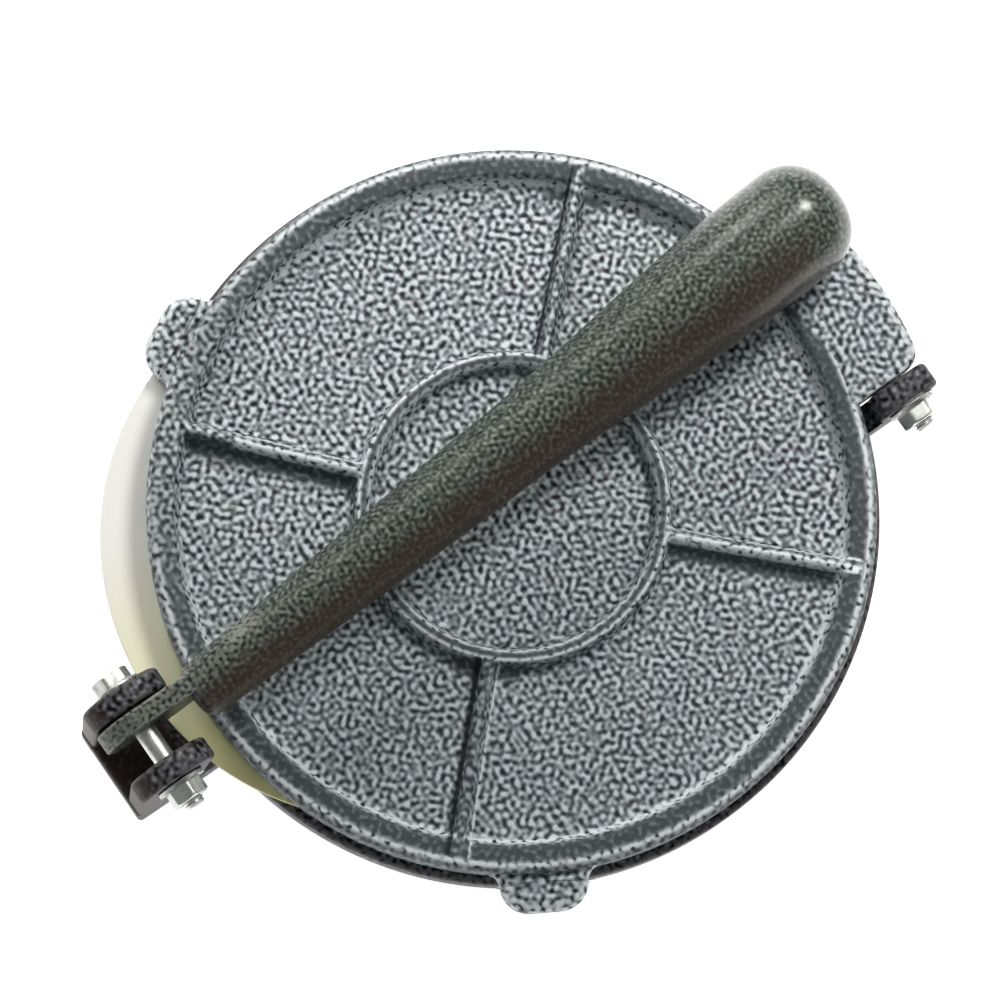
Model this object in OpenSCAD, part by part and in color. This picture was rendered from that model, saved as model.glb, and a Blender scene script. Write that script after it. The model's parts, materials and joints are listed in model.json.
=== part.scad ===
// Tortilla press: a cast base, a cast lid hinged at the back, and a cast lever
// that turns in a clevis at the front and presses the lid down.
// X runs along both pivots, +Y from the clevis to the hinge, +Z up, table at Z = 0.

/* [Lid] */
// Diameter of the lid over its skirt
lid_d = 204; // [180:1:240]
// Height of the lid from its pressing face to the top of its rim
lid_h = 12; // [9:0.5:16]
// Thickness of the lid's floor
lid_floor = 6; // [4:0.5:8]
// Radius of the lid's rounded upper edge
lid_edge_r = 3; // [1:0.5:5]
// Chamfer around the lid's pressing face
lid_chamfer = 0.6; // [0.2:0.1:1]
// Width of the flat top of the lid's rim
rim_flat_w = 5; // [3:0.5:10]
// Slope of the walls that stand on the lid's floor, as a width at their foot
lid_draft = 1.3; // [0.5:0.1:2.5]
// Radius of the middle of the raised ring
ring_r = 42.1; // [30:0.1:60]
// Width of the crest of the ring
ring_w = 3.4; // [2:0.2:6]
// Width of the crest of each rib
rib_w = 2.8; // [2:0.2:6]
// Width of each finger tab
tab_w = 24.5; // [16:0.5:36]
// How far each finger tab stands out from the skirt
tab_out = 10.5; // [5:0.5:16]
// Thickness of each finger tab
tab_h = 8; // [4:0.5:9]
// Radius of the corners of each finger tab
tab_corner_r = 8; // [3:0.5:8]
// Angle from the front to each finger tab
tab_angle = 61; // [40:0.5:80]
// Angle by which both finger tabs are turned towards the lid's left
tab_turn = 1; // [0:0.5:3]

/* [Base] */
// Diameter of the base over its skirt
base_d = 209; // [186:1:246]
// Height of the base casting
base_h = 14; // [11:0.5:20]
// Thickness of the base's floor
base_floor = 6; // [4:0.5:8]
// Thickness of the base's skirt
skirt_t = 5; // [3:0.5:8]
// Radius of the base's rounded edges
base_edge_r = 2; // [0.5:0.5:3]
// Width of the stiffening ribs under the base
under_rib_w = 4; // [3:0.5:8]

/* [Hinge] */
// Distance from the lid's skirt to the hinge axis
hinge_out = 8; // [6:0.5:12]
// Offset of the hinge to the side of the lid's middle
hinge_x = 3.5; // [-6:0.5:6]
// Width of the lid's hinge tongue
tongue_w = 54; // [40:1:80]
// How far the tongue reaches behind the hinge axis
heel = 12; // [7:0.5:13]
// Radius of the tongue's corners seen from above
tongue_corner_r = 5; // [2:0.5:8]
// Radius of the tongue's lower back edge, on which it rolls past the base
heel_low_r = 6.5; // [5:0.5:8]
// Radius of the tongue's upper back edge
heel_top_r = 3; // [1:0.5:4]
// Gap between the tongue's heel and the base as the lid opens
heel_gap = 1.2; // [0.6:0.1:3]
// Radius of the hinge ears around the axis
hinge_ear_r = 9.5; // [7:0.5:11]
// Height of the hinge ears above the lid's rim
hinge_ear_rise = 0.5; // [0:0.1:1]
// Thickness of each hinge ear
hinge_ear_t = 7.5; // [4:0.5:12]
// Gap between the tongue and each hinge ear
hinge_side_gap = 0.5; // [0.4:0.1:3]

/* [Clevis] */
// Distance from the lid's skirt to the lever's pivot axis
pivot_out = 18; // [16:0.5:24]
// Height of the lever's pivot axis above the lid's rim
pivot_rise = 14; // [14:0.5:20]
// Offset of the clevis to the side of the lid's middle
clevis_x = -3; // [-6:0.5:6]
// Radius of the clevis ears around the pivot axis
ear_r = 12; // [9:0.5:13]
// How far the front of each ear spreads at its foot, beyond the radius
ear_spread = 2; // [0:0.5:4]
// How far the back of each ear draws in at its foot, inside the radius
ear_draw = 5; // [2:0.5:6]
// Thickness of each clevis ear
ear_t = 6.6; // [4:0.2:10]
// Clear width between the two clevis ears
clevis_w = 16.4; // [14:0.2:24]

/* [Lever] */
// Length from the pivot axis to the end of the knob
lever_l = 242; // [200:1:242]
// Thickness of the flat eye that turns in the clevis
eye_t = 5.6; // [4:0.2:8]
// Offset of the eye to the side of the clevis's middle
eye_x = -4.6; // [-4.6:0.2:4.6]
// Radius of the eye around the pivot
eye_r = 12; // [9:0.5:13]
// Distance from the pivot axis to the shoulder of the round arm
shoulder = 15.5; // [14:0.5:20]
// Radius of the arm at its shoulder
neck_r = 7.6; // [6:0.2:8]
// Radius of the arm at its waist
waist_r = 11.3; // [8:0.1:13]
// Distance from the pivot axis to the waist
waist_at = 113; // [90:1:140]
// Radius of the knob
knob_r = 16.8; // [13:0.2:17]
// Distance from the end of the knob to its widest place
knob_l = 20; // [16:1:30]
// Radius of the knob's rounded end
knob_end_r = 14; // [8:0.5:16]
// Height of the arm's axis above the pivot axis
arm_rise = 4.5; // [4:0.1:8]
// Offset of the arm to the side of the clevis's middle
arm_x = -0.4; // [-1:0.1:1]
// Angle by which the arm leans to the left of square
arm_skew = 4; // [0:0.5:5]
// Width of the pressing foot under the arm
press_w = 10; // [6:0.5:14]
// Length of the pressing foot along the arm
press_l = 18; // [10:1:26]

/* [Bolts] */
// Diameter of both pivot bolts
bolt_d = 6; // [5:0.5:8]
// Width across the flats of the bolt heads and nuts
hex_af = 10; // [9:0.5:13]
// Chamfer on the points of the bolt heads and nuts
hex_chamfer = 1; // [0.5:0.1:1.5]
// Height of the bolt heads
head_h = 4; // [3:0.2:6]
// Height of the nuts
nut_h = 5; // [4:0.2:7]
// Diameter of the washers
washer_d = 14; // [12:0.5:18]
// Thickness of the washers
washer_t = 1.2; // [0.8:0.1:2]
// Length of bolt that shows beyond each nut
bolt_tail = 2; // [0.5:0.5:5]

/* [Feet] */
// Diameter of each rubber foot where it meets the base
foot_d = 18; // [14:1:24]
// Height of each rubber foot
foot_h = 8; // [6:0.5:14]
// Distance from the middle of the base to each foot
foot_r = 82; // [60:1:84]
// Diameter of the foot screws
screw_d = 4; // [3:0.5:5]
// Depth that the foot screws reach into the base
screw_in = 9; // [6:0.5:10]
// Diameter of the foot screws' heads
screw_head_d = 7.6; // [6:0.2:9]
// Height of the foot screws' heads
screw_head_h = 2.4; // [1.6:0.2:3]
// Depth of the foot screws' heads above the table
screw_recess = 1.6; // [1:0.1:2.5]
// Width of the cross slot in the foot screws' heads
slot_w = 1; // [0.6:0.1:1.4]
// Depth of the cross slot in the foot screws' heads
slot_h = 1.2; // [0.6:0.1:1.4]

/* [Liner] */
// Diameter of the loose round liner
liner_d = 160; // [130:1:166]
// Thickness of the liner
liner_t = 1; // [0.4:0.1:2]
// How far the liner lies to the side of the press's middle
liner_x = -14.5; // [-20:0.5:0]
// Gap between the liner's edge and the clevis ears
liner_gap = 0.5; // [0.3:0.1:3]

/* [Fits] */
// Radial clearance of a bolt in a piece that turns on it
run_fit = 0.07; // [0.02:0.01:0.1]
// Radial clearance of a bolt or screw in a piece that it holds
hold_fit = 0.2; // [0.05:0.05:0.4]
// Gap between pieces that press on each other in use
press_gap = 0.3; // [0.2:0.05:0.6]

/* [Hidden] */
$fn = 96;
eps = 0.01;
over = 1;                                     // a cut runs this far past the face that it opens
bite = 1;                                     // a form runs this far into the one that it joins

lid_r = lid_d / 2;
base_r = base_d / 2;
base_z = foot_h;                              // underside of the base casting
plate_z = base_z + base_h;                    // pressing face of the base
lid_z = plate_z + liner_t + press_gap;        // pressing face of the lid
rim_z = lid_z + lid_h;                        // top of the lid's rim
rim_in = lid_r - lid_edge_r - rim_flat_w;     // inner edge of the rim's flat top
rib_angles = [45, 135, 225, 315];             // ribs under the base
lid_rib_angles = [45.5, 134, 222, 316];       // ribs on the lid, which are cast a little out of square
ring_half = ring_w / 2;

hinge_y = lid_r + hinge_out;
hinge_z = lid_z + lid_h / 2;
tongue_r = hinge_y + heel;
hinge_in = tongue_w / 2 + hinge_side_gap;     // inner face of a hinge ear
hinge_half = hinge_in + hinge_ear_t;          // outer face of a hinge ear
hinge_notch = hinge_y - heel - heel_gap;      // the base is cut away behind this line
hinge_wall_t = skirt_t + 1;

pivot_y = -(lid_r + pivot_out);
pivot_z = rim_z + pivot_rise;
clevis_half = clevis_w / 2 + ear_t;           // outer face of a clevis ear
ear_foot_front = ear_r + ear_spread;
ear_foot_back = ear_r - ear_draw;
lug_in = skirt_t * 2;

arm_z = pivot_z + arm_rise;
shoulder_edge_r = 2;
knob_mid = lever_l - knob_end_r;              // centre of the knob's rounded end
press_at = (-pivot_y - ring_r) / cos(arm_skew);

bolt_r = bolt_d / 2;
tail_chamfer = 0.8;
hex_r = hex_af / 2 / cos(30);
hex_cone = [hex_r + 0.2, hex_af / 2 - 0.3];   // radii of the cone that chamfers the hexagon
screw_r = screw_d / 2;
boss_r = foot_d / 2 + 1;
foot_taper = 1;
foot_pocket_h = screw_recess + screw_head_h;
foot_pocket_d = screw_head_d + 1;
screw_head_taper = 0.8;
hole_spare = 0.5;                             // a screw hole is this much deeper than its screw
foot_places = [["left", "front", 225], ["right", "front", 315], ["left", "back", 135], ["right", "back", 45]];

liner_y = pivot_y + ear_foot_back + liner_gap + liner_d / 2;

// The frame's origin is under the middle of the whole press
lever_end = pivot_y + knob_mid * cos(arm_skew) + (arm_r(knob_mid) - knob_end_r) * sin(arm_skew) + knob_end_r;
front_end = pivot_y - max(ear_r, eye_r, ear_foot_front);
plate_y = -(front_end + max(tongue_r, lever_end)) / 2;

// A wall of revolution with sloping flanks, standing on a floor
module bead(r, half_w, draft, z0, z1) {
    rotate_extrude()
        polygon([[r - half_w - draft, z0], [r + half_w + draft, z0], [r + half_w, z1], [r - half_w, z1]]);
}

// A straight wall with sloping flanks, from radius r0 to r1 along +X
module rib(r0, r1, w, draft, z0, z1) {
    translate([r0, 0, 0]) rotate([90, 0, 90])
        linear_extrude(r1 - r0)
            polygon([[-w / 2 - draft, z0], [w / 2 + draft, z0], [w / 2, z1], [-w / 2, z1]]);
}

// A round bar along X from x0 to x1, centred on an axis at y and z
module bar_x(x0, x1, r, y, z) {
    translate([x0, y, z]) rotate([0, 90, 0]) cylinder(h = x1 - x0, r = r);
}

// A plate lying across X from x0 to x1, with its outline drawn in Y and Z
module slab_x(x0, x1) {
    translate([x0, 0, 0]) rotate([90, 0, 90]) linear_extrude(x1 - x0) children();
}

// A hexagon prism along X with its points chamfered at one end
module hex_x(x0, h, chamfer_at_far_end) {
    turn = chamfer_at_far_end ? 90 : -90;
    translate([chamfer_at_far_end ? x0 : x0 + h, 0, 0]) rotate([0, turn, 0]) intersection() {
        cylinder(h = h, r = hex_r, $fn = 6);
        union() {
            cylinder(h = h - hex_chamfer, r = hex_r + over);
            translate([0, 0, h - hex_chamfer])
                cylinder(h = hex_chamfer, r1 = hex_cone[0], r2 = hex_cone[1]);
        }
    }
}

module washer_x(x0, hole_r) {
    translate([x0, 0, 0]) rotate([0, 90, 0]) difference() {
        cylinder(h = washer_t, d = washer_d);
        translate([0, 0, -over]) cylinder(h = washer_t + 2 * over, r = hole_r);
    }
}

// A hex bolt along X whose head bears on a washer at -half and whose nut bears at +half
module hex_bolt(half) {
    head_x = -half - washer_t - head_h;
    tail_x = half + washer_t + nut_h + bolt_tail;
    color("silver") {
        hex_x(head_x, head_h, false);
        bar_x(head_x + head_h - bite, tail_x - tail_chamfer, bolt_r, 0, 0);
        translate([tail_x - tail_chamfer, 0, 0]) rotate([0, 90, 0])
            cylinder(h = tail_chamfer, r1 = bolt_r, r2 = bolt_r - tail_chamfer);
    }
}

module hex_nut(half) {
    color("silver") difference() {
        hex_x(half + washer_t, nut_h, true);
        bar_x(half, half + washer_t + nut_h + over, bolt_r + run_fit, 0, 0);
    }
}

module head_washer(half) {
    color("gainsboro") washer_x(-half - washer_t, bolt_r + hold_fit);
}

module nut_washer(half) {
    color("gainsboro") washer_x(half, bolt_r + hold_fit);
}

// Lid: floor, rounded rim, ring, ribs, finger tabs and hinge tongue in one casting
module lid_disc() {
    rim_mid = lid_r - lid_edge_r;
    rotate_extrude() {
        square([lid_r - lid_edge_r, lid_floor]);
        translate([0, lid_chamfer]) square([lid_r, lid_h - lid_edge_r - lid_chamfer]);
        polygon([[rim_mid, 0], [lid_r - lid_chamfer, 0], [lid_r, lid_chamfer], [rim_mid, lid_chamfer + eps]]);
        translate([rim_mid, lid_h - lid_edge_r]) circle(r = lid_edge_r);
        translate([rim_in, 0]) square([rim_flat_w, lid_h]);
    }
}

module lid_pocket() {
    rotate_extrude()
        polygon([[0, lid_floor], [rim_in - lid_draft, lid_floor], [rim_in, lid_h],
                 [rim_in, lid_h + over], [0, lid_h + over]]);
}

module finger_tab() {
    reach = lid_r + tab_out;
    start = lid_r - lid_edge_r - bite;
    linear_extrude(tab_h) {
        translate([start, -tab_w / 2]) square([reach - tab_corner_r - start, tab_w]);
        translate([start, -tab_w / 2 + tab_corner_r]) square([reach - start, tab_w - 2 * tab_corner_r]);
        for (side = [-1, 1])
            translate([reach - tab_corner_r, side * (tab_w / 2 - tab_corner_r)]) circle(r = tab_corner_r);
    }
}

// The tongue is drawn from above and from the side, and is what both outlines share
module hinge_tongue() {
    start = rim_in + bite;
    half = tongue_w / 2;
    corner_y = sqrt(tongue_r * tongue_r - half * half) - tongue_corner_r;
    intersection() {
        linear_extrude(lid_h) intersection() {
            circle(r = tongue_r, $fn = 180);
            union() {
                translate([-half, start]) square([tongue_w, corner_y - start]);
                translate([-half + tongue_corner_r, start])
                    square([tongue_w - 2 * tongue_corner_r, tongue_r - start]);
                for (side = [-1, 1])
                    translate([side * (half - tongue_corner_r), corner_y]) circle(r = tongue_corner_r);
            }
        }
        slab_x(-half - over, half + over) union() {
            translate([start, 0]) square([tongue_r - heel_low_r - start, lid_h]);
            translate([start, heel_low_r]) square([tongue_r - start, lid_h - heel_low_r - heel_top_r]);
            translate([start, heel_low_r]) square([tongue_r - heel_top_r - start, lid_h - heel_low_r]);
            translate([tongue_r - heel_low_r, heel_low_r]) circle(r = heel_low_r);
            translate([tongue_r - heel_top_r, lid_h - heel_top_r]) circle(r = heel_top_r);
        }
    }
}

module lid_plate() {
    color("darkgray") translate([0, 0, lid_z]) difference() {
        union() {
            difference() {
                lid_disc();
                lid_pocket();
            }
            bead(ring_r, ring_half, lid_draft, lid_floor - bite, lid_h);
            for (angle = lid_rib_angles)
                rotate([0, 0, angle])
                    rib(ring_r, rim_in + bite, rib_w, lid_draft, lid_floor - bite, lid_h);
            for (side = [-1, 1])
                rotate([0, 0, -90 - tab_turn + side * tab_angle]) finger_tab();
            translate([hinge_x, 0, 0]) hinge_tongue();
        }
        bar_x(hinge_x - tongue_w, hinge_x + tongue_w, bolt_r + run_fit, hinge_y, hinge_z - lid_z);
    }
}

// Base: flat pressing floor with a skirt and ribs below, clevis in front and hinge ears behind
module base_disc() {
    edge = base_r - base_edge_r;
    inner = base_r - skirt_t;
    rotate_extrude() {
        translate([0, base_h - base_floor]) square([edge, base_floor]);
        translate([inner, base_edge_r]) square([skirt_t, base_h - 2 * base_edge_r]);
        translate([inner, 0]) square([skirt_t - base_edge_r, base_h]);
        translate([edge, base_edge_r]) circle(r = base_edge_r);
        translate([edge, base_h - base_edge_r]) circle(r = base_edge_r);
    }
}

module base_ribs() {
    top = base_h - base_floor + bite;
    rotate_extrude()
        translate([ring_r - under_rib_w / 2, base_edge_r]) square([under_rib_w, top - base_edge_r]);
    for (angle = rib_angles)
        rotate([0, 0, angle])
            rib(ring_r, base_r - skirt_t + bite, under_rib_w, 0, base_edge_r, top);
    for (place = foot_places)
        rotate([0, 0, place[2]]) translate([foot_r, 0, 0]) cylinder(h = top, r = boss_r);
}

module clevis_ear(x0) {
    slab_x(x0, x0 + ear_t) {
        translate([pivot_y, pivot_z - base_z]) circle(r = ear_r);
        polygon([[pivot_y - ear_r, pivot_z - base_z], [pivot_y - ear_foot_front, 0],
                 [pivot_y + ear_foot_back, 0], [pivot_y + ear_foot_back, base_h],
                 [pivot_y + ear_r, pivot_z - base_z]]);
    }
}

module clevis() {
    lug_front = pivot_y - ear_foot_front;
    lug_back = -base_r + lug_in;
    translate([clevis_x, 0, 0]) {
        clevis_ear(-clevis_half);
        clevis_ear(clevis_half - ear_t);
        translate([-clevis_half, lug_front, 0]) cube([2 * clevis_half, lug_back - lug_front, base_h]);
    }
}

// An ear's round top is cut flat just above the lid's rim, because the lever's knob lies over it
module hinge_ear(x0) {
    z = hinge_z - base_z;
    slab_x(x0, x0 + hinge_ear_t) {
        intersection() {
            translate([hinge_y, z]) circle(r = hinge_ear_r);
            translate([hinge_y - hinge_ear_r, 0]) square([2 * hinge_ear_r, rim_z + hinge_ear_rise - base_z]);
        }
        polygon([[hinge_y + hinge_ear_r, z], [hinge_y + hinge_ear_r, base_h / 2], [hinge_y, 0],
                 [hinge_notch - hinge_wall_t, 0], [hinge_notch - hinge_wall_t, base_h],
                 [hinge_y - hinge_ear_r, base_h], [hinge_y - hinge_ear_r, z]]);
    }
}

// Two ears joined by a wall across the end of the cut that clears the lid's tongue
module hinge_yoke() {
    translate([hinge_x, 0, 0]) {
        hinge_ear(-hinge_half);
        hinge_ear(hinge_in);
        translate([-hinge_half, hinge_notch - hinge_wall_t, 0])
            cube([2 * hinge_half, hinge_wall_t, base_h]);
    }
}

module base_plate() {
    color("dimgray") translate([0, 0, base_z]) difference() {
        union() {
            difference() {
                union() {
                    base_disc();
                    base_ribs();
                }
                translate([hinge_x - hinge_in, hinge_notch, -over])
                    cube([2 * hinge_in, tongue_r, base_h + 2 * over]);
            }
            clevis();
            hinge_yoke();
        }
        translate([clevis_x, 0, 0])
            bar_x(-clevis_half - over, clevis_half + over, bolt_r + hold_fit, pivot_y, pivot_z - base_z);
        translate([hinge_x, 0, 0])
            bar_x(-hinge_half - over, hinge_half + over, bolt_r + hold_fit, hinge_y, hinge_z - base_z);
        for (place = foot_places)
            rotate([0, 0, place[2]]) translate([foot_r, 0, -over])
                cylinder(h = screw_in + hole_spare + over, r = screw_r + run_fit);
    }
}

// Lever: a flat eye that runs into a round arm, which swells to a waist and then to a knob
function smooth(u) = u <= 0 ? 0 : u >= 1 ? 1 : u * u * (3 - 2 * u);
function arm_r(t) =
    neck_r + (waist_r - neck_r) * pow(min(1, max(0, (t - shoulder) / (waist_at - shoulder))), 0.75)
    + (knob_r - waist_r) * smooth((t - waist_at) / (lever_l - knob_l - waist_at));

module lever_arm() {
    side_steps = 36;
    end_steps = 16;
    side_start = shoulder + shoulder_edge_r;
    side = [for (i = [0:side_steps]) let (t = side_start + (knob_mid - side_start) * i / side_steps)
            [arm_r(t), t]];
    knob_end = [for (i = [1:end_steps]) let (a = 90 * i / end_steps)
                [arm_r(knob_mid) - knob_end_r + knob_end_r * cos(a), knob_mid + knob_end_r * sin(a)]];
    front = [[0, shoulder], [arm_r(side_start) - shoulder_edge_r, shoulder]];
    rotate([-90, 0, 0]) rotate_extrude() polygon(concat(front, side, knob_end, [[0, lever_l]]));
}

// The neck leaves the eye level at its top and at a slant below, and ends inside the arm
module lever_eye() {
    neck_end = shoulder * 2;
    neck_top = arm_rise + neck_r - 1;
    neck_low = arm_rise - neck_r + 2;
    slant = 24;
    slab_x(-eye_t / 2, eye_t / 2) {
        circle(r = eye_r);
        polygon([[0, eye_r], [neck_end, neck_top], [neck_end, neck_low],
                 [eye_r * cos(slant), -eye_r * sin(slant)], [0, 0]]);
    }
}

module press_foot() {
    nose_z = rim_z + press_gap - arm_z;
    nose_r = press_l / 2;
    slab_x(-press_w / 2, press_w / 2) {
        translate([press_at, nose_z + nose_r]) circle(r = nose_r);
        translate([press_at - nose_r, nose_z + nose_r]) square([press_l, -nose_z - nose_r]);
    }
}

module lever() {
    color("slategray") difference() {
        union() {
            translate([clevis_x + eye_x, pivot_y, pivot_z]) lever_eye();
            translate([clevis_x + arm_x, pivot_y, arm_z]) rotate([0, 0, arm_skew]) {
                lever_arm();
                press_foot();
            }
        }
        bar_x(clevis_x - clevis_half, clevis_x + clevis_half, bolt_r + run_fit, pivot_y, pivot_z);
    }
}

module rubber_foot(angle) {
    color("black") rotate([0, 0, angle]) translate([foot_r, 0, 0]) difference() {
        cylinder(h = foot_h, d1 = foot_d - 2 * foot_taper, d2 = foot_d);
        translate([0, 0, -over]) cylinder(h = foot_pocket_h + over, d = foot_pocket_d);
        cylinder(h = foot_h + over, r = screw_r + hold_fit);
    }
}

module foot_screw(angle) {
    color("gainsboro") rotate([0, 0, angle]) translate([foot_r, 0, foot_pocket_h]) difference() {
        union() {
            translate([0, 0, -screw_head_h])
                cylinder(h = screw_head_h, d1 = screw_head_d - 2 * screw_head_taper, d2 = screw_head_d);
            translate([0, 0, -eps]) cylinder(h = foot_h - foot_pocket_h + screw_in, r = screw_r);
        }
        for (turn = [0, 90])
            rotate([0, 0, turn]) translate([-screw_head_d / 4, -slot_w / 2, -screw_head_h - over])
                cube([screw_head_d / 2, slot_w, slot_h + over]);
    }
}

module press_liner() {
    color("ivory") translate([liner_x, liner_y, plate_z]) cylinder(h = liner_t, d = liner_d, $fn = 180);
}

module at_pivot() {
    translate([clevis_x, pivot_y, pivot_z]) children();
}

module at_hinge() {
    translate([hinge_x, hinge_y, hinge_z]) children();
}

translate([0, plate_y, 0]) {
    base_plate();
    lid_plate();
    lever();
    at_pivot() hex_bolt(clevis_half);  // pivot_bolt
    at_pivot() hex_nut(clevis_half);  // pivot_nut
    at_pivot() head_washer(clevis_half);  // pivot_head_washer
    at_pivot() nut_washer(clevis_half);  // pivot_nut_washer
    at_hinge() hex_bolt(hinge_half);  // hinge_bolt
    at_hinge() hex_nut(hinge_half);  // hinge_nut
    at_hinge() head_washer(hinge_half);  // hinge_head_washer
    at_hinge() nut_washer(hinge_half);  // hinge_nut_washer
    for (place = foot_places) {
        spot = str(place[1], "_", place[0]);
        rubber_foot(place[2]);
        foot_screw(place[2]);
    }
    press_liner();
}
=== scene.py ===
import json
import math

import bpy
import numpy as np
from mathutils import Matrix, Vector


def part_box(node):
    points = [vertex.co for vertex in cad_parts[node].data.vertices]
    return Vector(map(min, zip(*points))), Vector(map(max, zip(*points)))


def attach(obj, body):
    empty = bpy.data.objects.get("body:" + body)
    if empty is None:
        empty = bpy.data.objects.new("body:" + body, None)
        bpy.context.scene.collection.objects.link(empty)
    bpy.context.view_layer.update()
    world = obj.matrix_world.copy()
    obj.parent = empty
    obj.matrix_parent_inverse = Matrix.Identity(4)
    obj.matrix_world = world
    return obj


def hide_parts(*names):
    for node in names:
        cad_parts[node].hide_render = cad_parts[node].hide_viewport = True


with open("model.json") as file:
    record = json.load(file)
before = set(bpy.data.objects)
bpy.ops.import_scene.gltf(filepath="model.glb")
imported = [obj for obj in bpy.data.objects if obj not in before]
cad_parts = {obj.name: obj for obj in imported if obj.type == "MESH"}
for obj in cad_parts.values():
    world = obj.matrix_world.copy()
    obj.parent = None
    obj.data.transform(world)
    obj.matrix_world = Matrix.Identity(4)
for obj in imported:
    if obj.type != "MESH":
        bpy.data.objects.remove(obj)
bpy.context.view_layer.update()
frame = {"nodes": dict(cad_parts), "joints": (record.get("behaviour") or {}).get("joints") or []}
MM = 0.001

# ---------------------------------------------------------------------------------------------
# Base casting. One piece of cast iron: a flat round pressing floor with a skirt and ribs below,
# a fork in front for the lever's bolt and two ears behind for the lid's bolt. It stands on its
# feet, and is sprayed all over with dark hammered enamel.

def span(node):
    """A node's box in the frame: its lowest and its highest corner, in mm to a hundredth."""
    return [np.round(np.array(corner) / MM, 2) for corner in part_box(node)]


base_box, lid_box, liner_box = span("base_plate"), span("lid_plate"), span("press_liner")
pivot_at = {joint["name"]: np.round(np.array(joint["pos_m"]) / MM, 2) for joint in frame["joints"]}
fork_x, fork_y, fork_z = pivot_at["lever_swing"]
hinge_x, hinge_y, hinge_z = pivot_at["lid_swing"]
lid_r = lid_box[1][0]
mid_y = lid_box[0][1] + lid_r     # the round plates are centred this far behind the frame's origin
base_r = base_box[1][0]
base_low, base_top = base_box[0][2], liner_box[0][2]
base_under, base_round, base_skirt = base_low + 8.0, 2.0, 5.0
ring_r = 42.1                     # the middle of the ring on the lid, and of the one below the base
rib_angles = np.radians([45.0, 135.0, 225.0, 315.0])
foot_at, boss_r = 82.0, 10.0      # how far the feet stand from the middle, and the bosses above them
notch_y, notch_half = 96.8, 29.5  # the base is cut straight behind this line, for the lid's tongue


def smooth_step(u):
    """Nought below 0, one above 1, and 3u^2 - 2u^3 between."""
    u = np.clip(u, 0.0, 1.0)
    return u * u * (3.0 - 2.0 * u)


def full_turn(steps):
    """The angles of one full turn in equal steps, as a row."""
    return (np.arange(steps) * 2 * np.pi / steps)[None, :]


def swell(p, size, depth):
    """The unevenness of a sand casting: four long sine waves that cross, size mm long and depth mm high."""
    x, y, z = p[..., 0] / size, p[..., 1] / size, p[..., 2] / size
    return depth * 0.35 * (np.sin(5.1 * x + 1.3) * np.cos(4.3 * y + 0.4) + np.sin(7.7 * y - 2.9 * x + 2.0)
                           + np.sin(9.7 * x + 6.1 * z + 0.7) * 0.6 + np.cos(8.3 * z - 5.2 * y) * 0.6)


def soft_line(q, width):
    """One where q is 0, falling to nought by about twice the width to either side, as a bell curve."""
    return np.exp(-(q / width) ** 2)


def rounding(radius, turns):
    """A rounded edge: how far it lies in from the side and how far from the face, at each angle."""
    return [(radius * (1 - np.sin(a)), radius * (1 - np.cos(a))) for a in turns]


def wall(q, crest, foot, soft=0.25):
    """Height, as a share, of a cast wall at q mm from its middle: one on the crest, a straight slope to
    its foot, and a soft bend of about soft mm at each, which is the difference of two logarithms of 1 +
    e^x."""
    def bend(x, k):
        return k * np.logaddexp(0.0, x / k)
    return np.clip((bend(foot - q, soft * 1.6) - bend(crest - q, soft)) / (foot - crest), 0.0, 1.0)


def rib_columns(r, ribs, half, between):
    """The angles at which a circle of radius r is cut into columns. Beside each rib the columns run
    alongside it, half mm to either side, and between the ribs they are spread evenly."""
    lanes = np.array([-1.0, -0.8, -0.66, -0.57, -0.5, -0.44, -0.38, -0.33, -0.28, -0.23, -0.17, -0.08])
    lanes = np.concatenate([lanes, [0.0], -lanes[::-1]]) * half
    r = np.maximum(np.atleast_1d(r), ring_r - 4.0)[:, None]
    near = np.arcsin(lanes[None, :] / r)
    edge = near[:, -1:]
    share = np.arange(1, between + 1)[None, :] / (between + 1)
    gaps = np.diff(np.append(ribs, ribs[0] + 2 * np.pi))
    spans = [np.concatenate([a + near, a + edge + (gap - 2 * edge) * share], axis=1)
             for a, gap in zip(ribs, gaps)]
    return np.concatenate(spans, axis=1)


def rib_share(x, y, ribs, ring_half, rib_half, slope):
    """How far a point of a ribbed floor is raised, as a share: the ring and the ribs are walls, and where
    two meet the share is one minus the product of what each leaves."""
    r = np.hypot(x, y)
    left = 1.0 - wall(np.abs(r - ring_r), ring_half, ring_half + slope)
    for a in ribs:
        along = x * np.cos(a) + y * np.sin(a)
        across = np.abs(x * np.sin(a) - y * np.cos(a))
        raised = wall(across, rib_half, rib_half + slope) * smooth_step((along - ring_r + 3.0) / 3.0)
        left = left * (1.0 - raised)
    return 1.0 - left


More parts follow.
